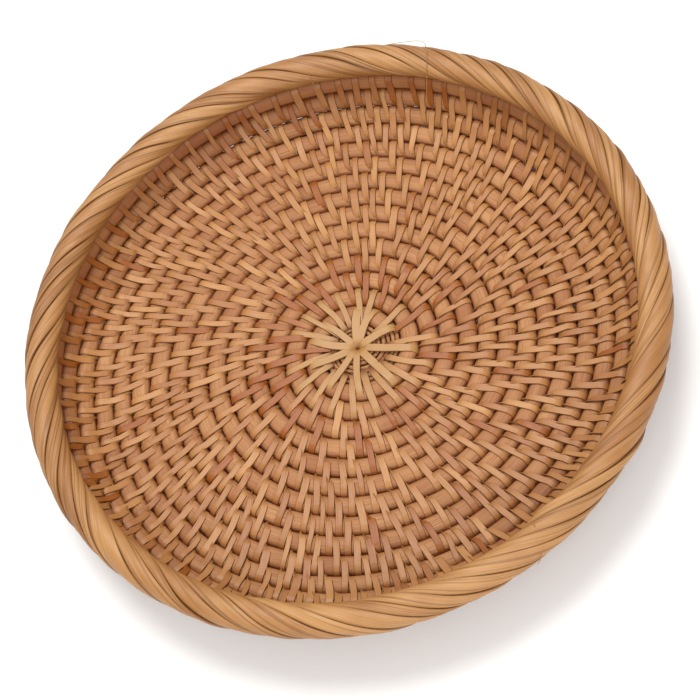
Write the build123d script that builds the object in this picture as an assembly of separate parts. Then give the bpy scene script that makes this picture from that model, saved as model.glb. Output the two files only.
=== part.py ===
from build123d import *
import math
import os

# A coiled winnowing basket: one round cane coil winds out from a hub, every round is sewn to the
# round inside it with flat binder cane, and a hoop that peel strips wrap stands on the top round.
# Millimetres, +Z up. The origin is on the surface that the basket stands on, under the hoop's centre.

# ---- driving dimensions -------------------------------------------------------------------------
cane_diameter = 6.1        # the round cane that the coil is made of
binder_width = 2.4         # the flat binder cane of the stitches
binder_thickness = 0.45
clearance = 0.1            # between a binder and what it is pulled round
leg_room = 0.3             # between two rounds, past the thickness of one binder on each

first_round_radius = 13.35  # the coil's centre line where the full cane begins, on the +X side
rounds_before_wall = 10.14  # rounds that lie flat on the floor
wall_bend_radius = 25.5    # the wall's profile is an arc that leaves the floor tangentially
coil_rounds = 14.5         # rounds of full cane, from the hub to the top of the wall
hub_shift = 1.8            # the hub lies this far to +X of the hoop's centre

strand_diameter = 1.5      # the thin strands that the coil starts with
strands_in_bundle = 4
hub_ray_count = 10         # strips that start the sewing, all from the centre

stitch_slant = 1.45        # how far a stitch's outer foot leads its inner foot, along the coil
stitch_lead = 0.36         # a stitch's place in the gap between two stitches of the round inside
split_allowance = 0.6      # a gap takes two stitches if it is this near to two full steps
split_spread = 1.6         # a sewer's eye isn't exact: the gap that is split varies by this much
split_rhythm = 2.4         # radians of that variation from one gap to the next
split_edge = 0.28          # where the two stand in the gap, as a share from each of its sides
stitch_room = 0.5          # the least gap between two stitches on one round
stitch_fan = 0.3           # how far each of two stitches in one gap leans out

hoop_half_width = 4.9      # the hoop's oval section
hoop_half_height = 4.1
hoop_clearance = 0.1       # between the hoop and the stitches that it stands on
wrap_strips = 54           # peel strips round the hoop
wrap_thickness = 0.75
wrap_clearance = 0.35      # between a strip and the hoop, less what its straight runs dip
wrap_turn = 20.0           # degrees of hoop that a strip goes from the inner edge to the outer edge
wrap_gap = 0.33            # degrees of hoop between two strips
wrap_open_half = 33.0      # the strips end this far each side of the hoop's seat on the coil
wrap_sections = 15
strips_in_group = 6

tail_rounds = 0.6          # the coil's end thins out over this part of a round
tail_stitch_rounds = 0.5   # stitches go round the tail this far
tail_step = 3.0            # degrees between two sections of the tail

# ---- values that follow -------------------------------------------------------------------------
cane_radius = cane_diameter / 2
# from one round of the coil to the next, along the basket's profile
pitch = cane_diameter + 2 * (binder_thickness + clearance) + leg_room
stitch_apart = binder_width + stitch_room       # between the centre lines of two stitches
split_gap = 4 * stitch_apart - split_allowance  # a gap from here up takes two stitches
first_split_gap = 3 * stitch_apart              # the same between the strips of the hub
strand_radius = strand_diameter / 2
strand_pitch = (cane_diameter - strand_diameter) / (strands_in_bundle - 1)
hub_ring_radius = 2 * strand_radius     # the strips' inner ends stand on this circle
hub_hole_radius = hub_ring_radius + strand_radius   # the strands begin outside it
floor_height = binder_thickness + clearance + cane_radius       # the floor coil's centre line
flat_length = first_round_radius + pitch * rounds_before_wall   # where the wall's arc begins
half_turns = round(2 * coil_rounds)
end_angle = math.pi * half_turns
end_length = first_round_radius + pitch * half_turns / 2
full_turn = 2 * math.pi

os.makedirs("parts", exist_ok=True)


def profile(length):
    """The point (radius, height) of the basket's profile at a length from the hub."""
    if length <= flat_length:
        return length, floor_height
    turn = (length - flat_length) / wall_bend_radius
    radius = flat_length + wall_bend_radius * math.sin(turn)
    return radius, floor_height + wall_bend_radius * (1 - math.cos(turn))


def axis_shift(length):
    """How far to +X a round's centre lies: the hub's shift, which fades out towards the wall."""
    return hub_shift * max(0.0, 1 - length / flat_length)


def coil_end(half_turn, offset=0.0):
    """Where the coil crosses the XZ plane after a number of half turns, offset along the profile."""
    length = first_round_radius + half_turn * pitch / 2
    radius, height = profile(length + offset)
    side = 1 if half_turn % 2 == 0 else -1
    return Vector(side * radius + axis_shift(max(length, 0.0)), 0, height)


def half_circle(half_turn, offset=0.0):
    """Centre, first radius vector and second radius vector of one half turn of the coil."""
    start, end = coil_end(half_turn, offset), coil_end(half_turn + 1, offset)
    across = (start - end) * 0.5
    side = 1 if half_turn % 2 == 0 else -1
    return (start + end) * 0.5, across, Vector(0, side * across.length, 0)


def coil_point(angle, offset=0.0):
    """A point of the coil's centre line, at a total angle counted from the full cane's start."""
    half_turn = math.floor(angle / math.pi)
    centre, across, sideways = half_circle(half_turn, offset)
    part = angle - half_turn * math.pi
    return centre + across * math.cos(part) + sideways * math.sin(part)


def coil_tangent(angle, offset=0.0):
    half_turn = math.floor(angle / math.pi)
    centre, across, sideways = half_circle(half_turn, offset)
    part = angle - half_turn * math.pi
    return (sideways * math.cos(part) - across * math.sin(part)).normalized()


def row_radius(angle):
    point = coil_point(angle)
    return math.hypot(point.X, point.Y)


# ---- the coil -----------------------------------------------------------------------------------
def round_cane(first_half_turn, last_half_turn, radius, offset=0.0):
    """A round cane along half turns of the coil, all tangent to each other."""
    arcs = []
    for half_turn in range(first_half_turn, last_half_turn):
        start, end = coil_end(half_turn, offset), coil_end(half_turn + 1, offset)
        middle = coil_point((half_turn + 0.5) * math.pi, offset)
        arcs.append(Edge.make_three_point_arc(start, middle, end))
    section = Plane(origin=coil_end(first_half_turn, offset), z_dir=arcs[0] % 0)
    disc = Face(Wire([Edge.make_circle(radius, plane=section)]))
    return Solid.sweep(disc, Wire(arcs))


def hub_strands():
    """The thin strands side by side that the coil starts with, up to the full cane's end face."""
    strands = []
    for number in range(strands_in_bundle):
        offset = (number - (strands_in_bundle - 1) / 2) * strand_pitch
        half_turn = 0
        while first_round_radius + (half_turn - 1) * pitch / 2 + offset > hub_hole_radius:
            half_turn -= 1
        strands.append(round_cane(half_turn, 0, strand_radius, offset))
    return strands


def tail_radius(part):
    """The tail's radius at a part of the round over which it thins out."""
    return (pitch * (1 - part) - (pitch - cane_diameter)) / 2


def tail_direction(part):
    """The tail lies straight over the round below, so it has that round's place in plan."""
    below = coil_point(end_angle - full_turn * (1 - part))
    return Vector(below.X, below.Y, 0).normalized()


def tail_point(part):
    """The tail's centre line: it stays under the hoop while the round below rises to it."""
    radius, height = profile(end_length + cane_radius - tail_radius(part))
    return tail_direction(part) * radius + Vector(0, 0, height)


def tail_tangent(part):
    outward = tail_direction(part)
    return Vector(-outward.Y, outward.X, 0)


def coil_tail():
    steps = round(360 * tail_rounds / tail_step)
    rings = []
    for step in range(steps + 1):
        part = tail_rounds * step / steps
        section = Plane(origin=tail_point(part), z_dir=tail_tangent(part))
        rings.append(Wire([Edge.make_circle(tail_radius(part), plane=section)]))
    return Solid.make_loft(rings, ruled=True)


# ---- the sewing ---------------------------------------------------------------------------------
def loop_outline(plane, length, near_radius, far_radius, stretch):
    """A line pulled tight round two rods, which a slanting plane cuts in ovals: the line round two
    circles, at 0 and at a length along the plane's X axis, stretched along that axis."""
    apart = length / stretch
    lean = math.asin((near_radius - far_radius) / apart)
    edges = []
    for side in (1, -1):
        near = (near_radius * math.sin(lean) * stretch, side * near_radius * math.cos(lean))
        far = ((apart + far_radius * math.sin(lean)) * stretch, side * far_radius * math.cos(lean))
        edges.append(Edge.make_line(plane.from_local_coords(near), plane.from_local_coords(far)))
    touch = 90 - math.degrees(lean)
    far_plane = Plane(plane.from_local_coords((length, 0)), plane.x_dir, plane.z_dir)
    edges.append(Edge.make_ellipse(far_radius * stretch, far_radius, far_plane, -touch, touch))
    edges.append(Edge.make_ellipse(near_radius * stretch, near_radius, plane, touch, 360 - touch))
    return Wire.combine(edges)[0]


def band_loop(near, near_radius, far, far_radius, along):
    """A closed band of binder cane pulled round two round canes that run side by side. Where it
    slants over them, it is the slanting outline carried along the canes, so it fits them."""
    reach = far - near
    across = reach.normalized()
    sideways = (along - across * along.dot(across)).normalized()
    stretch = 1 / along.dot(sideways)
    run = along * (binder_width * stretch)
    plane = Plane(origin=near - run / 2, x_dir=across, z_dir=sideways)
    inner_gap, outer_gap = clearance, clearance + binder_thickness
    apart = reach.length
    outer = loop_outline(plane, apart, near_radius + outer_gap, far_radius + outer_gap, stretch)
    inner = loop_outline(plane, apart, near_radius + inner_gap, far_radius + inner_gap, stretch)
    return Solid.extrude(Face(outer, [inner]), run)


def stitch_places():
    """Pairs of total angles, inner foot and outer foot, in the order in which they were sewn.
    Each stitch stands in a gap between two stitches of the round inside; a wide gap takes two."""
    outer_feet = [ray_angle(number) for number in range(hub_ray_count)]
    pairs = []
    last_gap = 0
    last_angle = end_angle + full_turn * tail_stitch_rounds
    while outer_feet[-1] < last_angle:
        here, there = outer_feet[last_gap], outer_feet[last_gap + 1]
        radius = row_radius(here)
        gap = (there - here) * radius
        least_split = split_gap + split_spread * math.sin(split_rhythm * last_gap)
        if last_gap < hub_ray_count - 1:
            least_split = first_split_gap
        if gap >= least_split:
            edge = max(stitch_apart, split_edge * gap)
            feet = [(edge, -stitch_fan), (gap - edge, stitch_fan)]
        else:
            feet = [(max(stitch_apart, stitch_lead * gap), 0.0)]
        for foot, fan in feet:
            inner = here + foot / radius
            outer_radius = row_radius(inner + full_turn)
            outer = inner + full_turn + (stitch_slant + fan) / outer_radius
            outer = max(outer, outer_feet[-1] + 2 * stitch_apart / outer_radius)
            pairs.append((inner, outer))
            outer_feet.append(outer)
        last_gap += 1
    return [pair for pair in pairs if pair[1] < last_angle]


def stitch(inner, outer):
    """One stitch over the cane of its own round and the cane of the round inside."""
    if outer <= end_angle:
        far, far_radius = coil_point(outer), cane_radius
    else:
        part = (outer - end_angle) / full_turn
        far, far_radius = tail_point(part), tail_radius(part)
    return band_loop(coil_point(inner), cane_radius, far, far_radius, coil_tangent(inner))


def ray_angle(number):
    """The coil's total angle where a strip ends, so that the strips are evenly spread in plan."""
    wanted = full_turn * number / hub_ray_count
    angle = wanted
    for _ in range(8):
        point = coil_point(angle)
        angle += wanted - math.atan2(point.Y, point.X - hub_shift) % full_turn
    return angle


def hub_ray(number):
    """A strip from the centre over the strands, round the first round of cane and back beneath."""
    centre = Vector(hub_shift, 0, floor_height)
    far = coil_point(ray_angle(number))
    outward = (far - centre).normalized()
    near = centre + outward * hub_ring_radius
    along = Vector(-outward.Y, outward.X, 0)
    strip = band_loop(near, strand_radius, far, cane_radius, along)
    half_share = math.pi / hub_ray_count
    reach = 2 * (far - centre).length
    spread = reach * math.tan(half_share) - clearance / math.cos(half_share)
    tip = clearance / math.sin(half_share)
    low = Vector(0, 0, -floor_height)
    corners = [
        centre + outward * tip + low,
        centre + outward * reach + along * spread + low,
        centre + outward * reach - along * spread + low,
    ]
    wedge = Solid.extrude(Face(Wire.make_polygon(corners)), Vector(0, 0, 3 * floor_height))
    return (strip & wedge).solids()[0]


# ---- the rim ------------------------------------------------------------------------------------
def hoop_seat():
    """The hoop's way along the profile past the coil's end, and the slope of the line between them.
    An oval reaches this far in a direction: the root of its two half axes' squared shares."""
    seat = hoop_half_height
    for _ in range(8):
        slope = (end_length + seat / 2 - flat_length) / wall_bend_radius
        reach = math.hypot(hoop_half_width * math.cos(slope), hoop_half_height * math.sin(slope))
        chord = cane_radius + clearance + binder_thickness + hoop_clearance + reach
        seat = 2 * wall_bend_radius * math.asin(chord / (2 * wall_bend_radius))
    return seat, slope


seat_length, seat_slope = hoop_seat()
hoop_radius, hoop_height = profile(end_length + seat_length)


def rim_hoop():
    """The closed hoop of oval section that stiffens the rim."""
    section = Plane(origin=(hoop_radius, 0, hoop_height), x_dir=(1, 0, 0), z_dir=(0, -1, 0))
    oval = Face(Wire([Edge.make_ellipse(hoop_half_width, hoop_half_height, plane=section)]))
    return Solid.revolve(oval, 360, Axis.Z)


def wrap_strip():
    """One peel strip: four-cornered sections that step round the hoop and along it."""
    width = 360 / wrap_strips - wrap_gap
    first = -180 + math.degrees(seat_slope) + wrap_open_half
    span = 360 - 2 * wrap_open_half
    sections = []
    for step in range(wrap_sections):
        turn = first + span * step / (wrap_sections - 1)
        start = wrap_turn * (180 - turn) / 180
        corners = []
        for grow, polar in (
            (wrap_clearance, start),
            (wrap_clearance, start + width),
            (wrap_clearance + wrap_thickness, start + width),
            (wrap_clearance + wrap_thickness, start),
        ):
            out = hoop_radius + (hoop_half_width + grow) * math.cos(math.radians(turn))
            up = hoop_height + (hoop_half_height + grow) * math.sin(math.radians(turn))
            polar = math.radians(polar)
            corners.append((out * math.cos(polar), out * math.sin(polar), up))
        sections.append(Wire.make_polygon(corners, close=True))
    return Solid.make_loft(sections, ruled=True)


# ---- the nodes ----------------------------------------------------------------------------------
def save(name, solids):
    export_step(Compound(children=list(solids)), f"parts/{name}.step")
    print(name, len(solids))


# The coil's lengths of cane, in half turns: three in the floor, then one for each round of wall.
floor_half_turns = 2 * math.ceil(rounds_before_wall)
floor_joints = [0, 2 * round(0.23 * floor_half_turns), 2 * round(0.36 * floor_half_turns)]
wall_joints = range(floor_half_turns, half_turns, 2)
cane_joints = [*floor_joints, *wall_joints, half_turns]

save("hub_strands", hub_strands())
for number, (first, last) in enumerate(zip(cane_joints, cane_joints[1:]), start=1):
    save(f"cane_length_{number}", [round_cane(first, last, cane_radius)])
save("cane_tail", [coil_tail()])

save("hub_rays", [hub_ray(number) for number in range(hub_ray_count)])
places = stitch_places()
for round_number in range(2, math.ceil(half_turns / 2 + tail_stitch_rounds) + 1):
    low, high = full_turn * (round_number - 1), full_turn * round_number
    own = [stitch(*pair) for pair in places if low <= pair[1] < high]
    save(f"stitch_round_{round_number:02d}", own)

save("rim_hoop", [rim_hoop()])
strip = wrap_strip()
for group in range(wrap_strips // strips_in_group):
    numbers = range(group * strips_in_group, (group + 1) * strips_in_group)
    turned = [strip.moved(Rot(0, 0, 360 * number / wrap_strips)) for number in numbers]
    save(f"rim_wrap_{group + 1}", turned)
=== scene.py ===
import math
import bpy
import numpy as np
from mathutils import Matrix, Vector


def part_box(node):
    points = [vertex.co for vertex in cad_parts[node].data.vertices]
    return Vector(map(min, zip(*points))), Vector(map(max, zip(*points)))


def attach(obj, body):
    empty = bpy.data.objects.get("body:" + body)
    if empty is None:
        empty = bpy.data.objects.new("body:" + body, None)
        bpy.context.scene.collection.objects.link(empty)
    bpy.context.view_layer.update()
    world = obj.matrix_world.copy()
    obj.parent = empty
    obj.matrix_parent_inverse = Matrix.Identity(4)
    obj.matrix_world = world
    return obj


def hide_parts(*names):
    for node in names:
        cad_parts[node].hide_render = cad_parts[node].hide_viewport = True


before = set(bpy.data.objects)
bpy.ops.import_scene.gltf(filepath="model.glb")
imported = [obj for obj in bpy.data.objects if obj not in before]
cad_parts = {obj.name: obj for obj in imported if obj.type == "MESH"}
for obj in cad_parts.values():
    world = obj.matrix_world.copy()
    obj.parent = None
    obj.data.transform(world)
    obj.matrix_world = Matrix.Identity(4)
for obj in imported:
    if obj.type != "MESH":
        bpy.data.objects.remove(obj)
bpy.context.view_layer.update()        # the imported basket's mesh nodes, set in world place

print("frame loaded,", len(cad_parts), "CAD nodes")

mm = 0.001
fullTurn = 2 * math.pi

# The coil: its run from the hub over the floor and up the wall. All lengths in mm.
coil = dict(
    pitch=7.5,             # from one round to the next, along the basket's profile
    firstLength=13.35,     # where the full cane begins
    flatLength=89.4,       # where the wall's arc begins
    bendRadius=25.5,       # of that arc
    rounds=14.5,
    hubShift=1.8,          # the hub lies off the hoop's centre
    floorHeight=3.6,       # the floor coil's centre line
    halfWidth=3.66,        # the cane's section is flatter and squarer than round
    halfHeight=3.05,
    squareness=2.7,        # 2 is an oval, more is squarer
    sideCorners=16,
    stepAngle=1.6,         # degrees between two sections
    joints=[0, 5, 8, 11, 12, 13, 14, 14.5],    # rounds where two lengths of cane meet
    tailRounds=0.93,
    growShare=0.018, growRun=60,       # a grown cane's size wanders by this share over so many mm,
    swayBy=0.07, swayRun=45,           # and its place by so many mm sideways
    heaveBy=0.14, heaveRun=38,         # and upwards
    toneSpread=0.28, toneRun=170,
    stainShare=0.55, tailStainShare=0.7,
    gapPaintedShade=(0.86, 0.2),   # sine of the section's angle where the painted shade of the gap begins and where it is full
)


# Radius, height and slope of the basket's profile at a length from the hub: level up to the bend,
# then an arc of the bend's radius that leaves the level tangentially.
def profileAt(length):
    turn = np.maximum(length - coil["flatLength"], 0) / coil["bendRadius"]
    flat = np.minimum(length, coil["flatLength"])
    radius = flat + coil["bendRadius"] * np.sin(turn)
    height = coil["floorHeight"] + coil["bendRadius"] * (1 - np.cos(turn))
    return radius, height, turn


# A point of the basket in metres. angle is the coil's total angle, which grows by a full turn each
# round while the coil moves out one pitch; across is the way from the coil's centre line along the
# profile; lift is the height above that profile, square to it, into the basket.
def basketPoint(angle, across, lift):
    angle, across, lift = np.broadcast_arrays(angle, across, lift)
    length = coil["firstLength"] + coil["pitch"] * angle / fullTurn + across
    radius, height, slope = profileAt(length)
    radius = radius - lift * np.sin(slope)
    height = height + lift * np.cos(slope)
    shift = coil["hubShift"] * np.clip(1 - length / coil["flatLength"], 0, 1)
    points = np.stack([radius * np.cos(angle) + shift, radius * np.sin(angle), height], axis=-1)
    return points * mm


# The coil's radius in mm at a total angle.
def radiusAt(angle):
    length = coil["firstLength"] + coil["pitch"] * np.asarray(angle, float) / fullTurn
    return profileAt(length)[0]


# A smooth random line, about -1 to 1: the sum of sine waves of falling length, each with a random
# phase.
def wander(places, seed, waves=6, longest=1.0):
    draw = np.random.default_rng(seed)
    total = np.zeros_like(np.asarray(places, float))
    for wave in range(waves):
        length = longest / (1 + 0.83 * wave)
        total += np.sin(fullTurn * (places / length + draw.random())) / (1 + 0.4 * wave)
    return total / 2.0


# Each vector divided by its length.
def unit(vectors):
    return vectors / np.maximum(np.linalg.norm(vectors, axis=-1, keepdims=True), 1e-12)


# Strips as one mesh. points is (strips, steps, corners, 3) with each step a closed ring, uvs is
# (strips, steps, corners + 1, 2), marks are values per strip, step and corner. The ends of each
# strip are closed with one face.
def gridPiece(name, points, uvs, marks, material, nodes, sharpCorners=()):
    strips, steps, corners = points.shape[:3]
    number = np.arange(strips * steps * corners).reshape(strips, steps, corners)
    here, there = number[:, :-1], number[:, 1:]
    quads = np.stack([here, there, np.roll(there, -1, 2), np.roll(here, -1, 2)], -1).reshape(-1)
    side = uvs[:, :, :-1], uvs[:, :, 1:]
    quadUvs = [side[0][:, :-1], side[0][:, 1:], side[1][:, 1:], side[1][:, :-1]]
    quadUvs = np.stack(quadUvs, 3).reshape(-1, 2)
    caps = np.concatenate([number[:, 0], number[:, -1, ::-1]]).reshape(-1)
    capUvs = np.concatenate([uvs[:, 0, :-1], uvs[:, -1, -2::-1]]).reshape(-1, 2)
    loops = np.concatenate([quads, caps])
    quadCount, capCount = len(quads) // 4, 2 * strips
    starts = np.concatenate([np.arange(quadCount) * 4, len(quads) + np.arange(capCount) * corners])
    mesh = bpy.data.meshes.new(name)
    mesh.vertices.add(number.size)
    mesh.vertices.foreach_set("co", points.reshape(-1).astype(np.float32))
    mesh.loops.add(len(loops))
    mesh.loops.foreach_set("vertex_index", loops.astype(np.int32))
    mesh.polygons.add(len(starts))
    mesh.polygons.foreach_set("loop_start", starts.astype(np.int32))
    mesh.update(calc_edges=True)
    uvMap = mesh.uv_layers.new(name="lengthAndGirth")
    uvMap.data.foreach_set("uv", np.concatenate([quadUvs, capUvs]).reshape(-1).astype(np.float32))
    for mark, values in marks.items():
        layer = mesh.attributes.new(mark, "FLOAT", "POINT")
        values = np.broadcast_to(values, points.shape[:3]).reshape(-1).astype(np.float32)
        layer.data.foreach_set("value", values)
    mesh.polygons.foreach_set("use_smooth", np.ones(len(starts), bool))
    ends = np.empty(2 * len(mesh.edges), np.int32)
    mesh.edges.foreach_get("vertices", ends)
    corner = ends.reshape(-1, 2) % corners
    sharp = (corner[:, 0] == corner[:, 1]) & np.isin(corner[:, 0], sharpCorners)
    mesh.attributes.new("sharp_edge", "BOOLEAN", "EDGE").data.foreach_set("value", sharp)
    mesh.validate()
    mesh.materials.append(material)
    piece = bpy.data.objects.new(name, mesh)
    bpy.context.scene.collection.objects.link(piece)
    if nodes:
        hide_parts(*nodes)
    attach(piece, "root")
    return piece


# An sRGB hex colour as linear values.
def linear(hexColour):
    parts = [int(hexColour[i:i + 2], 16) / 255 for i in (1, 3, 5)]
    return (*[p / 12.92 if p <= 0.04045 else ((p + 0.055) / 1.055) ** 2.4 for p in parts], 1.0)


# Adds a node with its settings; an input is a value or another node's output.
def addNode(tree, kind, inputs=None, **settings):
    made = tree.nodes.new("ShaderNode" + kind)
    for key, value in settings.items():
        setattr(made, key, value)
    for key, value in (inputs or {}).items():
        if isinstance(value, bpy.types.NodeSocket):
            tree.links.new(value, made.inputs[key])
        else:
            made.inputs[key].default_value = value
    return made


caneFinish = dict(
    pale="#b98452",        # the peeled cane's heartwood, pinkish tan
    deep="#9b6339",
    grainDark="#7c4520",
    paintedGapShade="#7a3409",     # painted shade: the cane darkened where the rounds meet, down in the gaps
    stain="#8a4416",
    lineWidth=0.35,        # mm across one vessel line of the grain
    lineRun=22.0,          # mm that such a line runs
    lineDepth=0.22,        # mm of bump
    lineShare=0.75,        # how dark an open line gets
    stainShare=0.75, paintedShadeShare=0.8,
    patch=14.0,            # mm, cloudy patches of tone
    roughness=0.58,
)

binderFinish = dict(
    pale="#b58049",        # the cane's skin side, a satin golden tan
    deep="#955b2c",
    straw="#a87c46",       # the hub's newer, paler strips
    stain="#8e4a07",       # strips that age and handling turned orange-brown
    # painted shade where a strip dives into a gap, and at the hub's hole
    paintedGapShade="#6e2f08",
    lineWidth=0.22,        # mm across one fine line along the strip
    lineRun=16.0,
    lineDepth=0.12,
    stainShare=0.94, paintedShadeShare=0.75,
    patch=5.0,
    roughness=0.42,
)

peelFinish = dict(
    pale="#b3824c",        # straw-coloured peel
    deep="#966230",
    streak="#6b4218",      # thin dark streaks and splits along the strip
    # painted shade in the seams between strips and beneath them
    paintedGapShade="#5e3610",
    lineWidth=0.34,
    lineRun=45.0,
    lineDepth=0.12,
    splitWidth=1.1,        # mm across a darker streak
    splitRun=60.0,
    splitShare=0.5,
    paintedShadeShare=0.85,
    patch=16.0,
    roughness=0.43,
)


# The common part: colour goes from deep to pale by lines along the piece, by cloudy patches and by
# the piece's own tone; the lines also raise the surface a little.
def grainMaterial(name, finish):
    material = bpy.data.materials.new(name)
    material.use_nodes = True
    tree = material.node_tree
    tree.nodes.clear()
    uv = addNode(tree, "UVMap", uv_map="lengthAndGirth").outputs["UV"]
    place = addNode(tree, "TexCoord").outputs["Object"]
    stretched = addNode(tree, "Mapping", {
        "Vector": uv,
        "Scale": (1 / finish["lineRun"], 1 / finish["lineWidth"], 1.0),
    }).outputs["Vector"]
    lines = addNode(tree, "TexNoise", {
        "Vector": stretched, "Scale": 1.0, "Detail": 4.0, "Roughness": 0.6,
    }, noise_dimensions="2D").outputs["Fac"]
    patches = addNode(tree, "TexNoise", {
        "Vector": place, "Scale": 1 / (finish["patch"] * mm), "Detail": 3.0,
    }).outputs["Fac"]
    tone = addNode(tree, "Attribute", attribute_name="tone").outputs["Fac"]
    return material, tree, uv, lines, patches, tone


# The colour mixed towards another by a mark of the mesh times a share.
def darkened(tree, colour, mark, towards, share):
    mark = addNode(tree, "Attribute", attribute_name=mark).outputs["Fac"]
    mark = addNode(tree, "Math", {0: mark, 1: share}, operation="MULTIPLY").outputs[0]
    return addNode(tree, "Mix", {0: mark, 6: colour, 7: linear(towards)},
                   data_type="RGBA").outputs[2]


# The surface itself: its colour, roughness and a bump of the given depth in metres.
def finishMaterial(tree, colour, bumpHeight, distance, roughness):
    bump = addNode(tree, "Bump", {"Height": bumpHeight, "Strength": 1.0, "Distance": distance})
    shader = addNode(tree, "BsdfPrincipled", {
        "Base Color": colour, "Roughness": roughness, "IOR": 1.5, "Normal": bump.outputs["Normal"],
    })
    addNode(tree, "OutputMaterial", {"Surface": shader.outputs["BSDF"]})


# Round rattan core, drawn through a die: matt, with short dark vessel lines along it. Colour = pale
# mixed to deep by patches and tone, then to dark where a vessel line is open.
def peeledRoundCane():
    finish = caneFinish
    material, tree, uv, lines, patches, tone = grainMaterial("peeled round cane", finish)
    shade = addNode(tree, "Math", {0: patches, 1: tone}, operation="ADD").outputs[0]
    shade = addNode(tree, "MapRange", {"Value": shade, "From Min": 0.55, "From Max": 1.35})
    body = addNode(tree, "Mix", {0: shade.outputs[0], 6: linear(finish["pale"]),
                                 7: linear(finish["deep"])}, data_type="RGBA").outputs[2]
    openGrain = addNode(tree, "MapRange", {"Value": lines, "From Min": 0.47, "From Max": 0.76,
                                           "To Max": finish["lineShare"]}).outputs[0]
    colour = addNode(tree, "Mix", {0: openGrain, 6: body, 7: linear(finish["grainDark"])},
                     data_type="RGBA").outputs[2]
    colour = darkened(tree, colour, "stain", finish["stain"], finish["stainShare"])
    # painted shade: darker where the mesh marks a gap or an underside
    colour = darkened(tree, colour, "paintedGapShade", finish["paintedGapShade"], finish["paintedShadeShare"])
    rough = addNode(tree, "MapRange", {"Value": lines, "To Min": finish["roughness"] - 0.08,
                                       "To Max": finish["roughness"] + 0.15}).outputs[0]
    finishMaterial(tree, colour, lines, finish["lineDepth"] * mm, rough)
    return material


# Binder cane: the skin of the rattan split off and shaved flat. It gives a satin strip with fine
# lines along it. Colour = pale mixed to deep by lines, patches and tone, then towards straw or
# stain by how new or how stained the strip is.
def satinBinderCane():
    finish = binderFinish
    material, tree, uv, lines, patches, tone = grainMaterial("satin binder cane", finish)
    shade = addNode(tree, "Math", {0: lines, 1: tone}, operation="ADD").outputs[0]
    shade = addNode(tree, "MapRange", {"Value": shade, "From Min": 0.5, "From Max": 1.5})
    body = addNode(tree, "Mix", {0: shade.outputs[0], 6: linear(finish["pale"]),
                                 7: linear(finish["deep"])}, data_type="RGBA").outputs[2]
    straw = addNode(tree, "Attribute", attribute_name="straw").outputs["Fac"]
    body = addNode(tree, "Mix", {0: straw, 6: body, 7: linear(finish["straw"])},
                   data_type="RGBA").outputs[2]
    stain = addNode(tree, "Attribute", attribute_name="stain").outputs["Fac"]
    stain = addNode(tree, "Math", {0: stain, 1: patches}, operation="MULTIPLY").outputs[0]
    stain = addNode(tree, "MapRange", {"Value": stain, "From Min": 0.05, "From Max": 0.36,
                                       "To Max": finish["stainShare"]}).outputs[0]
    colour = addNode(tree, "Mix", {0: stain, 6: body, 7: linear(finish["stain"])},
                     data_type="RGBA").outputs[2]
    # painted shade where the mesh marks a gap
    colour = darkened(tree, colour, "paintedGapShade", finish["paintedGapShade"], finish["paintedShadeShare"])
    rough = addNode(tree, "MapRange", {"Value": lines, "To Min": finish["roughness"] - 0.07,
                                       "To Max": finish["roughness"] + 0.13}).outputs[0]
    finishMaterial(tree, colour, lines, finish["lineDepth"] * mm, rough)
    return material


# Wide peel of a reed or palm stalk, wound on damp: a silky straw skin with long streaks. Colour =
# pale mixed to deep by streaks, patches and tone, and dark in a few thin splits.
def glossyPeel():
    finish = peelFinish
    material, tree, uv, lines, patches, tone = grainMaterial("silky straw peel", finish)
    shade = addNode(tree, "Math", {0: lines, 1: patches}, operation="ADD").outputs[0]
    shade = addNode(tree, "Math", {0: shade, 1: tone}, operation="ADD").outputs[0]
    shade = addNode(tree, "MapRange", {"Value": shade, "From Min": 1.1, "From Max": 1.85})
    body = addNode(tree, "Mix", {0: shade.outputs[0], 6: linear(finish["pale"]),
                                 7: linear(finish["deep"])}, data_type="RGBA").outputs[2]
    splitScale = (1 / finish["splitRun"], 1 / finish["splitWidth"], 1.0)
    splits = addNode(tree, "Mapping", {"Vector": uv, "Scale": splitScale})
    splits = addNode(tree, "TexNoise", {"Vector": splits.outputs[0], "Scale": 1.0, "Detail": 1.0},
                     noise_dimensions="2D").outputs["Fac"]
    splits = addNode(tree, "MapRange", {"Value": splits, "From Min": 0.57, "From Max": 0.66,
                                        "To Max": finish["splitShare"]}).outputs[0]
    colour = addNode(tree, "Mix", {0: splits, 6: body, 7: linear(finish["streak"])},
                     data_type="RGBA").outputs[2]
    # painted shade in the seams, by the mesh's mark
    colour = darkened(tree, colour, "paintedGapShade", finish["paintedGapShade"], finish["paintedShadeShare"])
    rough = addNode(tree, "MapRange", {"Value": lines, "To Min": finish["roughness"] - 0.06,
                                       "To Max": finish["roughness"] + 0.14}).outputs[0]
    height = addNode(tree, "Math", {0: lines, 1: splits}, operation="SUBTRACT").outputs[0]
    finishMaterial(tree, colour, height, finish["lineDepth"] * mm, rough)
    return material


roundCane = peeledRoundCane()
binderCane = satinBinderCane()
peel = glossyPeel()
print("materials made")


# A rounded section: an oval whose cosine and sine are raised to a power below 1.
def ringPlace(turn, halfWidth, halfHeight, squareness):
    across = np.sign(np.cos(turn)) * np.abs(np.cos(turn)) ** (2 / squareness) * halfWidth
    lift = np.sign(np.sin(turn)) * np.abs(np.sin(turn)) ** (2 / squareness) * halfHeight
    return across, lift


# The same section at evenly turned corners, with the first corner repeated at the end.
def ringShape(halfWidth, halfHeight, squareness, corners):
    turn = fullTurn * np.arange(corners + 1) / corners
    across, lift = ringPlace(turn, halfWidth, halfHeight, squareness)
    return across, lift, turn


# 0 up to start and 1 from end, with a smooth step between.
def fade(values, start, end):
    share = np.clip((values - start) / (end - start), 0, 1)
    return share * share * (3 - 2 * share)


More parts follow.
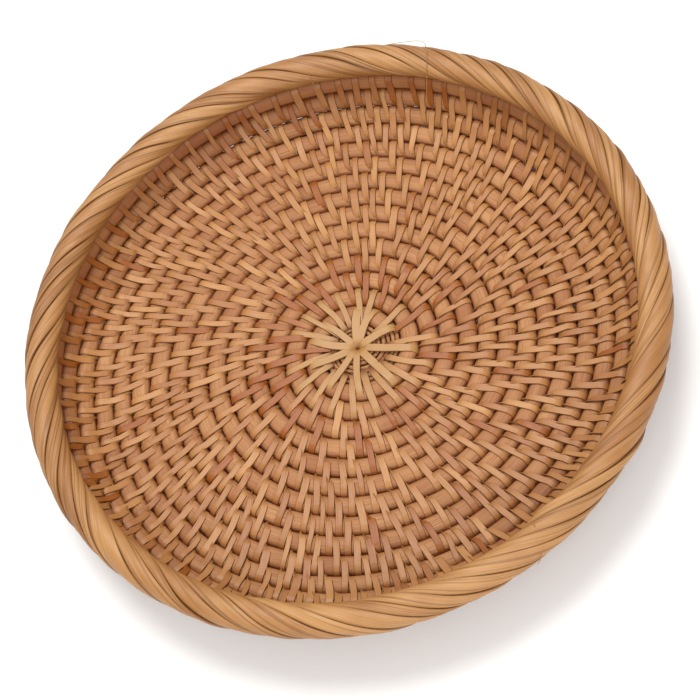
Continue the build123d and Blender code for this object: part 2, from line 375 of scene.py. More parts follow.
wallAge = dict(
    firstRound=12.2,       # where the darkening begins
    overRounds=2.0,        # and the rounds it takes to be full
    middle=0.45, swing=0.75,
    darkSide=115,          # degrees
)


# How dark the top of the wall is, 0 to 1: it rises over the last rounds, and fades from the left
# far side round to the near right.
def wallStain(angle):
    height = np.clip((angle / fullTurn - wallAge["firstRound"]) / wallAge["overRounds"], 0, 1)
    side = np.cos(angle - math.radians(wallAge["darkSide"]))
    side = np.clip(wallAge["middle"] + wallAge["swing"] * side, 0, 1)
    return height * side


# One length of the coil: the section carried along the coil's angle, its size and place wandering
# by a few tenths of a mm as a grown cane does.
def caneAlong(name, first, last, nodes, seed):
    steps = int((last - first) * 360 / coil["stepAngle"]) + 1
    angle = np.linspace(first, last, steps) * fullTurn
    across, lift, turn = ringShape(coil["halfWidth"], coil["halfHeight"], coil["squareness"],
                                   coil["sideCorners"])
    travel = np.concatenate([[0], np.cumsum(np.diff(angle) * radiusAt(angle[1:]))])
    grow = 1 + coil["growShare"] * wander(travel, seed, longest=coil["growRun"])
    sway = coil["swayBy"] * wander(travel, seed + 1, longest=coil["swayRun"])
    heave = coil["heaveBy"] * wander(travel, seed + 2, longest=coil["heaveRun"])
    points = basketPoint(angle[:, None], across[None, :-1] * grow[:, None] + sway[:, None],
                         lift[None, :-1] * grow[:, None] + heave[:, None])
    girth = turn * (coil["halfWidth"] + coil["halfHeight"]) / 2
    uvs = np.stack(np.broadcast_arrays(travel[:, None], girth[None, :]), -1)
    tone = 0.5 + coil["toneSpread"] * wander(travel, seed + 3, longest=coil["toneRun"])[:, None]
    # painted shade on the cane's sides and underside, down in the gaps between rounds
    marks = {"tone": tone[None], "stain": coil["stainShare"] * wallStain(angle)[None, :, None],
             "paintedGapShade": fade(np.sin(turn[:-1]), *coil["gapPaintedShade"])[None, None, ::-1]}
    return gridPiece(name, points[None, :, ::-1], uvs[None, :, ::-1], marks,
                     roundCane, nodes)


for number, (first, last) in enumerate(zip(coil["joints"], coil["joints"][1:]), start=1):
    caneAlong(f"coil_cane_{number}", first, last, [f"cane_length_{number}"], 40 + 10 * number)


# The coil's last part: its size falls evenly while it stays up against the hoop.
def tailCane():
    steps = int(coil["tailRounds"] * 360 / coil["stepAngle"])
    part = np.linspace(0, coil["tailRounds"], steps)
    angle = (coil["rounds"] + part) * fullTurn
    size = 1 - part * coil["pitch"] / (2 * coil["halfWidth"])
    back = -part * coil["pitch"] + coil["halfWidth"] * (1 - size)
    across, lift, turn = ringShape(coil["halfWidth"], coil["halfHeight"], 2.0,
                                   coil["sideCorners"])
    points = basketPoint(angle[:, None], across[None, :-1] * size[:, None] + back[:, None],
                         lift[None, :-1] * size[:, None])
    travel = (angle - angle[0]) * radiusAt(angle)
    uvs = np.stack(np.broadcast_arrays(travel[:, None], turn[None, :] * 3), -1)
    # the same painted shade on the tail's sides and underside
    return gridPiece("coil_tail", points[None, :, ::-1], uvs[None, :, ::-1],
                     {"tone": np.array(0.55),
                      "stain": coil["tailStainShare"] * wallStain(angle)[None, :, None],
                      "paintedGapShade": fade(np.sin(turn[:-1]), *coil["gapPaintedShade"])[None, None, ::-1]},
                     roundCane, ["cane_tail"])


tailCane()

strands = dict(
    count=4,
    radius=0.84,
    apart=1.8,
    innerLength=2.3,       # where they begin, mm from the hub
    corners=8,
    steps=90,
    lift=0.9,              # mm above the cane's centre line
    heaveBy=0.22, heaveRun=5.0,        # mm, over radians of the coil
    strayBy=0.24, strayRun=4.0,
    sizeSpread=0.10, sizeRhythm=2.6,   # one strand is thicker than the next
    tone=0.3, toneRhythm=2.1,
    meanRadius=8,          # mm, for the grain's run
)


# The thin strands side by side that the coil starts with, each a round section along the coil's run
# before the full cane.
def hubStrands():
    across, lift, turn = ringShape(strands["radius"], strands["radius"], 2.0, strands["corners"])
    steps = strands["steps"]
    grids, uvs, tones = [], [], []
    for strand in range(strands["count"]):
        offset = (strand - (strands["count"] - 1) / 2) * strands["apart"]
        start = (strands["innerLength"] - coil["firstLength"] - offset) / coil["pitch"]
        angle = np.linspace(start, 0.02, steps) * fullTurn
        heave = strands["heaveBy"] * wander(angle, 300 + strand, longest=strands["heaveRun"])
        stray = strands["strayBy"] * wander(angle, 310 + strand, longest=strands["strayRun"])
        size = 1 + strands["sizeSpread"] * math.cos(strands["sizeRhythm"] * strand)
        ringAcross = offset + stray[:, None] + size * across[None, :-1]
        ringLift = strands["lift"] + size * lift[None, :-1] + heave[:, None]
        grids.append(basketPoint(angle[:, None], ringAcross, ringLift)[:, ::-1])
        travel = angle * strands["meanRadius"]
        uvs.append(np.stack(np.broadcast_arrays(travel[:, None], turn[None, ::-1]), -1))
        shade = strands["tone"] * (1 + math.sin(strands["toneRhythm"] * strand))
        tones.append(np.full((steps, 1), shade))
    # painted shade on the strands' undersides and sides
    marks = {"tone": np.array(tones), "stain": np.array(0.0),
             "paintedGapShade": fade(np.sin(turn[:-1]), 0.7, 0.0)[None, None, ::-1]}
    return gridPiece("hub_core_strands", np.array(grids), np.array(uvs), marks, roundCane,
                     ["hub_strands"])


hubStrands()
print("coil made")

stitches = dict(
    width=2.6,             # mm; the real strip is 2.4 and its edges spread
    thickness=0.8,         # the section below goes to under half of it each way
    aboveCane=0.33,        # from the cane's surface to the middle of the strip
    besideCane=0.17,
    rays=10,               # strips from the centre
    slant=0.75,            # a stitch's outer foot leads its inner foot by this, in mm
    lead=0.36,             # its place in the gap between two stitches of the round inside
    apart=2.9,             # the least distance between two stitches
    splitAllowance=0.6,    # a gap takes two stitches if it is this near to two full steps
    splitSpread=1.6,       # a sewer's eye isn't exact: the gap that is split varies by this much
    rhythm=2.4,            # radians of that variation from one gap to the next
    reach=2.6,             # mm that the first sewn round reaches in over the hub's strands
    edge=0.28,
    fan=0.4,
    tailStitchRounds=0.5,
    tailSweep=2.6,         # mm that the strip's inner end comes from, back along the coil
    jitter=0.38,           # mm, at the inner foot
    outerJitter=0.228,
    lastRun=8.0,           # mm beneath, for the stitch with none after it
    widthSpread=0.10,
    liftSpread=0.16,       # mm
    dip=0.18,              # mm that it sags between its two canes
    turnRounds=3.5,        # rounds over which sweep and twist grow to full, from leastTurn
    leastTurn=0.15,
    sweepSpread=0.22, twistSpread=0.15, reachSpread=0.3,
    reachEnds=(1.93, 2.06),            # rounds
    hubTop=2.3, hubRise=0.9,           # mm, the height over the strands
    toneSpread=0.2,
    girth=[0, 0.7, 2.0, 2.7, 4.0, 5.3],    # mm round the section, for the grain
)


# Total angles of each stitch's inner and outer foot, in sewing order: each stands in a gap between
# two stitches of the round inside, and a wide gap takes two.
def stitchFeet():
    draw = np.random.default_rng(7)
    outer = list(fullTurn * (np.arange(stitches["rays"]) / stitches["rays"]))
    inner = []
    gapNumber = 0
    lastAngle = (coil["rounds"] + stitches["tailStitchRounds"]) * fullTurn
    while outer[-1] < lastAngle:
        here, there = outer[gapNumber], outer[gapNumber + 1]
        radius = float(radiusAt(here))
        gap = (there - here) * radius
        least = 4 * stitches["apart"] - stitches["splitAllowance"] + stitches["splitSpread"] * (
            math.sin(stitches["rhythm"] * gapNumber))
        if gapNumber < stitches["rays"] - 1:
            least = 3 * stitches["apart"]
        if gap >= least:
            edge = max(stitches["apart"], stitches["edge"] * gap)
            feet = [(edge, -stitches["fan"]), (gap - edge, stitches["fan"])]
        else:
            feet = [(max(stitches["apart"], stitches["lead"] * gap), 0.0)]
        for foot, fan in feet:
            start = here + foot / radius
            outerRadius = float(radiusAt(start + fullTurn))
            end = start + fullTurn + (stitches["slant"] + fan) / outerRadius
            end = max(end, outer[-1] + 2 * stitches["apart"] / outerRadius)
            inner.append(start)
            outer.append(end)
        gapNumber += 1
    outer = np.array(outer[stitches["rays"]:])
    inner = np.array(inner)
    inner += stitches["jitter"] * draw.standard_normal(len(inner)) / radiusAt(inner)
    outer += stitches["outerJitter"] * draw.standard_normal(len(outer)) / radiusAt(outer)
    return inner, outer


innerFeet, outerFeet = stitchFeet()

# One stitch's way round two canes, as angle round the cane it is at (180 is the gap on the inner
# side), which cane (0 inner, 1 outer), sweep back along the coil, twist and width share.
stitchWay = np.array([
    # angle, cane, sweep, twist, width
    (190, 0, 1.00, 84, 0.55),
    (162, 0, 0.88, 74, 0.62),
    (138, 0, 0.62, 54, 0.75),
    (116, 0, 0.34, 30, 0.90),
    (94, 0, 0.12, 12, 1.00),
    (90, 0.34, 0.02, 3, 1.0),
    (90, 0.68, 0.0, 0, 1.0),
    (86, 1, 0.0, 0, 1.0),
    (58, 1, 0.0, 0, 1.0),
    (30, 1, 0.0, 0, 0.97),
    (2, 1, 0.0, 0, 0.93),
    (-30, 1, 0.0, 0, 0.95),
    (-62, 1, 0.0, 0, 1.0),
    (-90, 0.95, 0.0, 0, 1.0),
    (-90, 0.55, 0.0, 0, 1.0),
    (-90, 0.15, 0.0, 0, 1.0),
    (-112, 0, 0.0, 5, 0.9),
    (-145, 0, 0.0, 50, 0.7),
])
overHub = np.array([1, 0.75, 0.4, 0.12] + [0] * (len(stitchWay) - 4))   # rows drawn in to the hub
turnsUnder = 11            # the row after which a stitch goes on beneath
# painted shade: a stitch darkens where it dives into the gap, at its inner tail and its outer end
paintedShadeAlong = np.where(stitchWay[:, 1] < 0.1, fade(stitchWay[:, 0], 125, 185), 0.0)
paintedShadeAlong = np.maximum(paintedShadeAlong, fade(stitchWay[:, 0], 48, 0))
sideShape = np.array([(-0.5, -0.06), (-0.43, 0.22), (0.43, 0.22), (0.5, -0.06), (0.0, -0.22)])


# A strip's surface: at each step its section, set out along the strip's side direction and the
# direction away from the cane, both turned about the strip's own run by the twist.
def ribbon(points, up, twist, width, thickness):
    run = unit(np.gradient(points, axis=-2))
    side = unit(np.cross(run, up))
    up = np.cross(side, run)
    c, s = np.cos(twist)[..., None], np.sin(twist)[..., None]
    side, up = side * c + up * s, up * c - side * s
    out = sideShape[:, 0] * width[..., None] * mm
    rise = sideShape[:, 1] * (thickness * mm)
    return (points[..., None, :] + side[..., None, :] * out[..., None]
            + up[..., None, :] * rise[:, None])


# The stitches of one round as separate strips, each over its two canes and beneath them on to where
# the next stitch starts.
def sewRound(name, chosen, nodes, seed):
    draw = np.random.default_rng(seed)
    inner, outer = innerFeet[chosen], outerFeet[chosen] - fullTurn
    following = np.minimum(chosen + 1, len(innerFeet) - 1)
    nextInner = innerFeet[following]
    runOn = inner + stitches["lastRun"] / radiusAt(inner)
    nextInner = np.where(following == chosen, runOn, nextInner)
    angle, cane, sweep, twist, share = stitchWay.T
    count, steps = len(chosen), len(angle)
    wide = 1 + stitches["widthSpread"] * draw.standard_normal((count, 1))
    top = angle > -10
    ringAcross, ringLift = ringPlace(np.radians(angle), coil["halfWidth"] + stitches["besideCane"],
                                     coil["halfHeight"] + stitches["aboveCane"],
                                     coil["squareness"])
    across = cane * coil["pitch"] + ringAcross + np.zeros((count, 1))
    lift = ringLift + np.where(top, stitches["liftSpread"], 0.0) * draw.random((count, 1))
    between = (cane > 0.1) & (cane < 0.9) & top
    lift = lift - np.where(between, stitches["dip"], 0.0)
    radius = radiusAt(inner)[:, None]
    way = np.clip(across / coil["pitch"], 0, 1)
    roundNumber = outerFeet[chosen][:, None] / fullTurn
    grown = np.clip((roundNumber - 1) / stitches["turnRounds"], stitches["leastTurn"], 1)
    spread = 1 + stitches["sweepSpread"] * draw.standard_normal((count, 1))
    sweepBack = stitches["tailSweep"] * grown * spread
    forward = inner[:, None] + (outer - inner)[:, None] * way - sweep * sweepBack / radius
    under = np.clip((np.arange(steps) - turnsUnder) / (steps - turnsUnder), 0, 1)
    target = nextInner[:, None] - stitches["tailSweep"] * grown / radius
    forward = forward * (1 - under) + target * under
    forward = np.where(under > 0, outer[:, None] * (1 - under) + target * under, forward)
    ends = drawnIn(outer + fullTurn)
    tailBack = ends[:, None] * way
    reach = (1 - fade(roundNumber, *stitches["reachEnds"])) * stitches["reach"] * (
        0.2 + 0.8 * roundNumber + stitches["reachSpread"] * draw.standard_normal((count, 1)))
    across = across - reach * overHub
    inside = np.clip(reach, 0, 1) * np.sign(overHub)
    onStrands = stitches["hubTop"] + stitches["hubRise"] * (1 - overHub)
    lift = lift * (1 - inside) + onStrands * inside
    points = basketPoint(forward, across - tailBack, lift)
    share = share * (1 - inside) + inside
    twist = twist * (1 - inside)
    away = basketPoint(forward, across - tailBack + np.cos(np.radians(angle)) * 0.5,
                       lift + np.sin(np.radians(angle)) * 0.5)
    up = unit(away - points)
    spread = 1 + stitches["twistSpread"] * draw.standard_normal((count, 1))
    turned = np.radians(twist) * grown * spread
    grid = ribbon(points, up, turned, stitches["width"] * share * wide, stitches["thickness"])
    lengthAlong = np.concatenate([np.zeros((count, 1)), np.cumsum(
        np.linalg.norm(np.diff(points, axis=1), axis=-1), axis=1)], axis=1) / mm
    lengthAlong = lengthAlong + 40 * draw.random((count, 1))
    uvs = np.stack(np.broadcast_arrays(lengthAlong[..., None], stitches["girth"]), -1)
    tone = np.clip(0.5 + stitches["toneSpread"] * draw.standard_normal((count, 1, 1)), 0, 1)
    marks = {"tone": tone, "stain": stainOf(outer + fullTurn, draw)[:, None, None],
             "straw": strawOf(outer + fullTurn, draw)[:, None, None],
             "paintedGapShade": paintedShadeAlong[None, :, None]}
    return gridPiece(name, grid, uvs, marks, binderCane, nodes, sharpCorners=(1, 2))


# How far a stitch's outer end is drawn in where the cane under it is the thinning tail.
def drawnIn(outer):
    part = np.clip((outer - coil["rounds"] * fullTurn) / fullTurn, 0, 1)
    return part * coil["pitch"]


# Strong and weak stain of the sewn strips.
stains = dict(
    ringRound=2.75, ringWidth=1.05,    # the stained ring round the hub, in rounds
    side=0.62, swing=0.38, darkSide=85,
    ringShare=1.25, wallShare=0.4, leastShare=0.04,    # chances of a strong stain
    weak=0.14, weakWall=0.26,
)


# How stained a stitch is, 0 to 1: strong in a ring of rounds near the hub, most on the far side,
# and at times along the top of the wall.
def stainOf(angle, draw):
    turnNumber = angle / fullTurn
    ring = np.exp(-((turnNumber - stains["ringRound"]) / stains["ringWidth"]) ** 4)
    side = stains["side"] + stains["swing"] * np.cos(angle - math.radians(stains["darkSide"]))
    wall = wallStain(angle)
    chance = np.maximum(ring * side * stains["ringShare"], wall * stains["wallShare"])
    chance = np.maximum(chance, stains["leastShare"])
    hit = draw.random(len(angle)) < chance
    strong = 0.5 + 0.5 * draw.random(len(angle))
    weak = stains["weak"] * draw.random(len(angle)) + stains["weakWall"] * wall
    return np.where(hit, strong, weak)


# Rounds over which the strips' newness falls off, and how much it varies.
newness = dict(full=1.7, overRounds=0.75, least=0.55, spread=0.4)


# How pale and new a stitch looks: the first rounds round the hub.
def strawOf(angle, draw):
    near = np.clip(newness["full"] - (angle / fullTurn - 1) / newness["overRounds"], 0, 1)
    return near * (newness["least"] + newness["spread"] * draw.random(len(angle)))


lastRound = int(max(outerFeet) // fullTurn) + 1
for number in range(2, lastRound + 1):
    node = f"stitch_round_{number:02d}"
    low, high = (number - 1) * fullTurn, number * fullTurn
    chosen = np.nonzero((outerFeet >= low) & (outerFeet < high))[0]
    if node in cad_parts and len(chosen):
        sewRound(f"sewing_round_{number:02d}", chosen, [node], seed=500 + number)

rays = dict(
    width=3.1,
    turnRadius=3.45,       # mm, round the first round of cane
    outward=[0.2, 1.0, 2.6, 5.0, 7.6, 10.2],       # mm from the hub, up to the cane
    heights=[-0.4, 1.7, 2.5, 2.75, 3.0, 3.3],      # mm above the cane's centre line there
    layers=[0, 0.7, 0.5, 0.2, 0, 0],   # mm more for a strip that lies on the others
    turns=[92, 66, 40, 12, -20, -55, -88],         # degrees round the cane
    stray=0.07, bend=0.05,             # radians, the bend over half a wave of bendLength mm
    bendLength=15,
    widthSpread=0.09,
    tone=0.35, toneSpread=0.15,
    # the last is the painted shade towards the hub's hole
    stain=0.05, straw=0.9, holePaintedShade=0.8,
)


# The strips from the centre: each rises out of the hub's hole, lies over the strands, goes round
# the first round of cane and comes back beneath.
def hubRays():
    draw = np.random.default_rng(21)
    count = stitches["rays"]
    angle = fullTurn * (np.arange(count) / count) + rays["stray"] * draw.standard_normal(count)
    canePlace = coil["firstLength"] + coil["pitch"] * angle / fullTurn
    outShare = np.array(rays["outward"]) / coil["firstLength"]
    turn = np.radians(rays["turns"])
    topOut = canePlace[:, None] * outShare
    order = draw.permutation(count)[:, None] / count
    topUp = np.array(rays["heights"]) + order * np.array(rays["layers"])
    roundOut = canePlace[:, None] + rays["turnRadius"] * np.cos(turn)
    roundUp = np.broadcast_to(rays["turnRadius"] * np.sin(turn), roundOut.shape)
    backOut = canePlace[:, None] * outShare[::-1]
    backUp = -topUp[:, ::-1]
    out = np.concatenate([topOut, roundOut, backOut], axis=1)
    up = np.concatenate([topUp, roundUp, backUp], axis=1)
    upAway = np.concatenate([np.ones_like(topUp), np.sin(np.broadcast_to(turn, roundUp.shape)),
                             -np.ones_like(backUp)], axis=1)
    outAway = np.concatenate([np.zeros_like(topUp), np.cos(np.broadcast_to(turn, roundUp.shape)),
                              np.zeros_like(backUp)], axis=1)
    bend = rays["bend"] * draw.standard_normal((count, 1)) * (
        np.sin(out / rays["bendLength"] * math.pi))
    polar = angle[:, None] + bend
    across = np.stack([np.cos(polar), np.sin(polar), np.zeros_like(polar)], -1)
    points = across * out[..., None] + np.array([coil["hubShift"], 0, coil["floorHeight"]])
    points[..., 2] += up
    away = across * outAway[..., None]
    away[..., 2] += upAway
    steps = out.shape[1]
    share = np.interp(out, [0.2, 1.3, 3.0], [0.5, 0.85, 1.0])
    share = share * (1 + rays["widthSpread"] * draw.standard_normal((count, 1)))
    grid = ribbon(points * mm, unit(away), np.zeros((count, steps)), rays["width"] * share,
                  stitches["thickness"])
    lengthAlong = np.broadcast_to(np.arange(steps) * 2.0, (count, steps)) + 40 * draw.random(
        (count, 1))
    uvs = np.stack(np.broadcast_arrays(lengthAlong[..., None], stitches["girth"]), -1)
    tone = rays["tone"] + rays["toneSpread"] * draw.standard_normal((count, 1, 1))
    # painted shade: the strips darken towards the hole in the hub
    marks = {"tone": np.clip(tone, 0, 1), "stain": np.array(rays["stain"]),
             "straw": np.array(rays["straw"]),
             "paintedGapShade": fade(out, 2.0, 0.3)[:, :, None] * rays["holePaintedShade"]}
    return gridPiece("hub_star", grid, uvs, marks, binderCane, ["hub_rays"],
                     sharpCorners=(1, 2))


hubRays()
print("sewing made,", len(innerFeet), "stitches")

hoopLow, hoopHigh = (np.array(corner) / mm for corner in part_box("rim_hoop"))
hoop = dict(
    halfWidth=4.9,
    halfHeight=4.1,
    corners=20,
    steps=240,
    # the last is painted shade over the whole hoop, which lies under the strips
    tone=0.6, stain=0.3, paintedGapShade=0.3,
    grainRadius=115, grainWidth=4.5,   # mm, rounded, for the hidden grain
)
rim = dict(
    hoopRadius=(hoopHigh[0] - hoopLow[0]) / 2 - hoop["halfWidth"],
    height=(hoopHigh[2] + hoopLow[2]) / 2,
    halfWidth=5.15,        # to the underside of the strips
    halfHeight=4.35,
    strips=54,
    groups=9,
    turnAcross=20.0,       # degrees of hoop from the inner edge to the outer edge
    openHalf=9.0,          # degrees of the tube on each side of its underside that stay open
    thickness=0.5,
    crown=0.50,            # mm that a strip stands up in its middle
    crownPower=4.5,        # more is flatter, with steeper edges
    seam=0.05,             # mm, half the gap between two strips
    seamSlope=27,          # degrees, for how far along the hoop that gap is
    edgeSpread=1.15, leanSpread=1.1,   # degrees of hoop
    waveBy=0.35, waveCount=1.5,
    fold=0.10, tuck=0.26, tuckSpread=0.4,          # mm, a fold along it and one edge low
    liftSpread=0.38, lowest=-0.1, swell=0.16,      # mm
    inside=0.15,           # mm that a strip's underside sinks into the hoop's outline
    stripRun=38.0, halfStrip=3.2,      # mm, for the grain
    toneSpread=0.22,
    # painted shade at each strip's edges, in the seams
    edgePaintedShade=0.8,
    steps=34,
    sideSteps=16,
)


# Each strip lies on the hoop's oval tube. Its two edges go round the tube while they step along the
# hoop; between them it is crowned, with one edge tucked a little lower.
def wrapStrips():
    draw = np.random.default_rng(11)
    count = rim["strips"]
    even = np.arange(count + 1) * 360 / count
    edge = even + np.append(draw.standard_normal(count) * rim["edgeSpread"], 0)
    edge[-1] = edge[0] + 360
    lean = np.append(draw.standard_normal(count) * rim["leanSpread"], 0)
    lean[-1] = lean[0]
    swing = np.append(draw.random(count), 0)
    swing[-1] = swing[0]
    tube = np.linspace(270 - rim["openHalf"], -90 + rim["openHalf"], rim["steps"])
    along = (180 - tube) / 180

    def edgeAt(number):
        wave = np.sin(math.pi * along * rim["waveCount"] + fullTurn * swing[number][:, None])
        across = (rim["turnAcross"] + lean[number][:, None]) * along
        return edge[number][:, None] + across + rim["waveBy"] * wave

    left, right = edgeAt(np.arange(count)), edgeAt(np.arange(1, count + 1))
    side = np.sin(np.linspace(-0.5, 0.5, rim["sideSteps"] + 1) * math.pi)
    seamSine = math.sin(math.radians(rim["seamSlope"]))
    gapAngle = math.degrees(rim["seam"] / seamSine / rim["hoopRadius"])
    share = (side + 1) / 2
    angle = ((left + gapAngle)[..., None] * (1 - share) + (right - gapAngle)[..., None] * share)
    crown = rim["crown"] * (1 - np.abs(side) ** rim["crownPower"])
    fold = rim["fold"] * np.sin(side * math.pi * (1.5 + draw.random((count, 1, 1)))
                                + fullTurn * draw.random((count, 1, 1)))
    tuck = rim["tuck"] * side * (1 + rim["tuckSpread"] * draw.standard_normal((count, 1, 1)))
    lift = rim["liftSpread"] * draw.random((count, 1, 1)) + rim["lowest"]
    lift = lift + tuck + fold * (1 - side ** 2)
    swell = np.sin(math.pi * along * 2 + fullTurn * draw.random((count, 1)))[..., None]
    outer = rim["thickness"] + crown + lift + rim["swell"] * swell
    inner = np.broadcast_to(-rim["inside"], outer[..., ::4].shape)
    grow = np.concatenate([outer, inner], -1)
    angle = np.concatenate([angle, angle[..., ::-4]], -1)
    tubeTurn = np.radians(tube)[:, None]
    out = rim["hoopRadius"] + (rim["halfWidth"] + grow) * np.cos(tubeTurn)
    up = rim["height"] + (rim["halfHeight"] + grow) * np.sin(tubeTurn)
    polar = np.radians(angle)
    points = np.stack([out * np.cos(polar), out * np.sin(polar), up], -1) * mm
    lengthAlong = np.linspace(0, rim["stripRun"], rim["steps"]) + 300 * draw.random((count, 1))
    width = np.concatenate([side, -side[::4], [-1]]) * rim["halfStrip"]
    width = width + 100 * draw.random((count, 1, 1))
    uvs = np.stack(np.broadcast_arrays(lengthAlong[..., None], width), -1)
    tone = np.clip(0.5 + rim["toneSpread"] * draw.standard_normal((count, 1, 1)), 0, 1)
    # painted shade: darker at each strip's two edges, in the seams, and full on its underside
    paintedGapShade = np.concatenate([rim["edgePaintedShade"] * fade(np.abs(side), 0.9, 1.0),
                              np.ones(len(side[::-4]))])
    return points, uvs, tone, paintedGapShade[None, None, :]


stripPoints, stripUvs, stripTone, stripPaintedShade = wrapStrips()
perGroup = rim["strips"] // rim["groups"]
for group in range(rim["groups"]):
    own = slice(group * perGroup, (group + 1) * perGroup)
    marks = {"tone": stripTone[own], "paintedGapShade": stripPaintedShade}
    gridPiece(f"rim_peel_{group + 1}", stripPoints[own], stripUvs[own], marks, peel,
              [f"rim_wrap_{group + 1}"])


# The hoop under the strips: an oval section carried round a full circle, its last ring laid on its
# first.
def hoopCore():
    across, lift, turn = ringShape(hoop["halfWidth"], hoop["halfHeight"], 2.0, hoop["corners"])
    polar = np.linspace(0, fullTurn, hoop["steps"] + 1)[:, None]
    out = rim["hoopRadius"] + across[:-1]
    points = [out * np.cos(polar), out * np.sin(polar), rim["height"] + lift[:-1]]
    points = np.stack(np.broadcast_arrays(*points), -1) * mm
    uvs = np.stack(np.broadcast_arrays(polar * hoop["grainRadius"], turn * hoop["grainWidth"]), -1)
    marks = {mark: np.array(hoop[mark]) for mark in ("tone", "stain", "paintedGapShade")}
    return gridPiece("rim_hoop_cane", points[None, :, ::-1], uvs[None, :, ::-1], marks, roundCane,
                     ["rim_hoop"])


hoopCore()
print("rim made")

fibres = dict(
    thickness=0.13,        # mm
    corners=6, steps=48,
    tone=0.4,
    # Each route is a few given points: degrees round the basket, mm from its axis, mm up.
    routes=[
        [(47, 98, 20), (47, 104, 27), (47.5, 112, 34.6), (48.5, 118, 35.2), (50, 121.2, 34.2),
         (53.5, 121.4, 32.5), (58, 120.2, 31.5)],
        [(71, 99, 21), (71.5, 104, 27), (72, 109.5, 33.4)],
        [(-76, 112, 34.6), (-77, 118.5, 33.4), (-78.5, 121.2, 30.5), (-79.5, 121.6, 28.2)],
    ],
)


# Hair-thin ends that work loose from the peel. Each is a round tube along a smooth curve: the
# route's points joined by Catmull-Rom pieces, whose slope at a point is half the step between its
# neighbours.
def looseFibres():
    grids, uvs = [], []
    turn = fullTurn * np.arange(fibres["corners"] + 1) / fibres["corners"]
    for route in fibres["routes"]:
        polar, out, up = np.array(route, float).T
        polar = np.radians(polar)
        knots = np.stack([out * np.cos(polar), out * np.sin(polar), up], -1)
        knots = np.concatenate([2 * knots[:1] - knots[1:2], knots, 2 * knots[-1:] - knots[-2:-1]])
        place = np.linspace(0, len(route) - 1 - 1e-6, fibres["steps"])
        number = place.astype(int)
        t = (place - number)[:, None]
        a, b, c, d = (knots[number + k] for k in range(4))
        line = 0.5 * (2 * b + (c - a) * t + (2 * a - 5 * b + 4 * c - d) * t ** 2
                      + (3 * b - a - 3 * c + d) * t ** 3)
        run = unit(np.gradient(line, axis=0))
        side = unit(np.cross(run, [0, 0, 1.0]) + 1e-6)
        rise = np.cross(side, run)
        cosine, sine = np.cos(turn[:-1])[:, None], np.sin(turn[:-1])[:, None]
        ring = side[:, None] * cosine + rise[:, None] * sine
        grids.append((line[:, None] + ring * fibres["thickness"]) * mm)
        uvs.append(np.stack(np.broadcast_arrays(place[:, None] * 10, turn * 0.1), -1))
    marks = {"tone": np.array(fibres["tone"]), "paintedGapShade": np.array(0.0)}
    return gridPiece("loose_fibres", np.array(grids), np.array(uvs), marks, peel, [])


looseFibres()
print("loose fibres made")

cameraView = dict(
    tilt=30.38,            # degrees from straight down
    roll=27.06,
    distance=0.7125,
    lens=97.7,
    aside=(2.5125, 1.3875),            # mm that the hub stands off the frame's middle
    hub=(1.8, -0.27, 7.2),             # mm
    sensor=36.0,
)


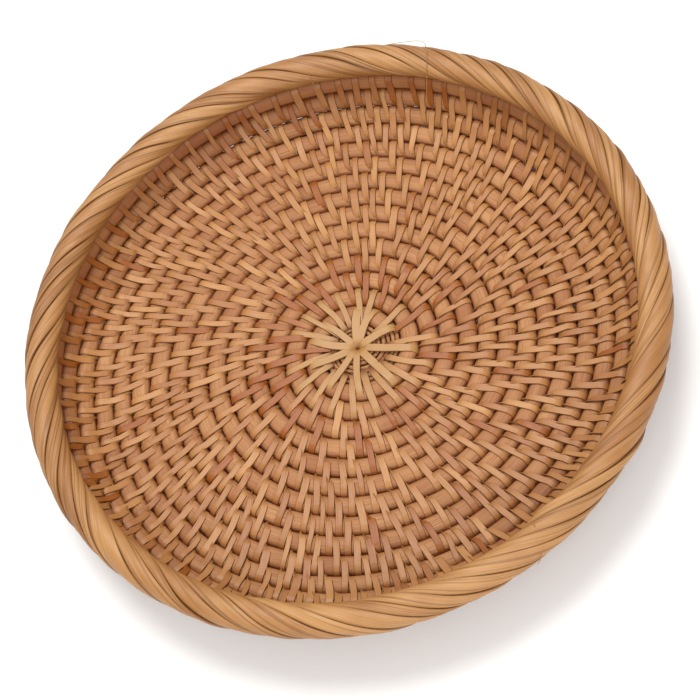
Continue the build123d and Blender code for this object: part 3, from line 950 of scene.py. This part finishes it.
# The camera looks at the hub, tilted from straight down and rolled about its line of sight.
def setCamera():
    tilt, roll = math.radians(cameraView["tilt"]), math.radians(cameraView["roll"])
    level = np.array([1.0, 0.0, 0.0])
    rising = np.array([0.0, math.cos(tilt), math.sin(tilt)])
    back = np.array([0.0, -math.sin(tilt), math.cos(tilt)])
    right = math.cos(roll) * level - math.sin(roll) * rising
    up = math.sin(roll) * level + math.cos(roll) * rising
    hub = np.array(cameraView["hub"]) * mm
    aside = (right * cameraView["aside"][0] + up * cameraView["aside"][1]) * mm
    place = hub + back * cameraView["distance"] - aside
    data = bpy.data.cameras.new("camera")
    data.lens = cameraView["lens"]
    data.sensor_width = cameraView["sensor"]
    data.clip_start = 0.01
    camera = bpy.data.objects.new("camera", data)
    bpy.context.scene.collection.objects.link(camera)
    matrix = np.eye(4)
    matrix[:3, 0], matrix[:3, 1], matrix[:3, 2], matrix[:3, 3] = right, up, back, place
    camera.matrix_world = Matrix(matrix)
    bpy.context.scene.camera = camera


setCamera()

lights = dict(
    skyStrength=0.60,      # even light from all sides, then two soft lamps (m, W)
    keySize=0.7, keyPower=12.0, keyPlace=(0.05, 0.40, 1.2),
    fillSize=1.2, fillPower=9.0, fillPlace=(-0.1, -0.9, 0.8),
)


# A round lamp that faces the basket's middle.
def areaLight(name, place, size, power):
    data = bpy.data.lights.new(name, "AREA")
    data.shape = "DISK"
    data.size = size
    data.energy = power
    lamp = bpy.data.objects.new(name, data)
    bpy.context.scene.collection.objects.link(lamp)
    direction = -unit(np.array(place))
    side = unit(np.cross(direction, [0, 0, 1.0]))
    up = np.cross(side, direction)
    matrix = np.eye(4)
    matrix[:3, 0], matrix[:3, 1], matrix[:3, 2], matrix[:3, 3] = side, up, -direction, place
    lamp.matrix_world = Matrix(matrix)


areaLight("key", lights["keyPlace"], lights["keySize"], lights["keyPower"])
areaLight("fill", lights["fillPlace"], lights["fillSize"], lights["fillPower"])
world = bpy.data.worlds.new("pale studio")
world.use_nodes = True
world.node_tree.nodes["Background"].inputs["Color"].default_value = (1, 1, 1, 1)
world.node_tree.nodes["Background"].inputs["Strength"].default_value = lights["skyStrength"]
bpy.context.scene.world = world
bpy.context.scene.view_settings.view_transform = "Standard"


# A flat sheet of matt white paper at the level that the basket stands on.
def paleFloor():
    half = 3.0
    mesh = bpy.data.meshes.new("floor")
    mesh.from_pydata([(-half, -half, 0), (half, -half, 0), (half, half, 0), (-half, half, 0)],
                     [], [(0, 1, 2, 3)])
    material = bpy.data.materials.new("matt white paper")
    material.use_nodes = True
    shader = material.node_tree.nodes["Principled BSDF"]
    shader.inputs["Base Color"].default_value = linear("#f4f3f1")
    shader.inputs["Roughness"].default_value = 0.9
    mesh.materials.append(material)
    floor = bpy.data.objects.new("floor", mesh)
    bpy.context.scene.collection.objects.link(floor)


paleFloor()
print("camera, light and floor set")
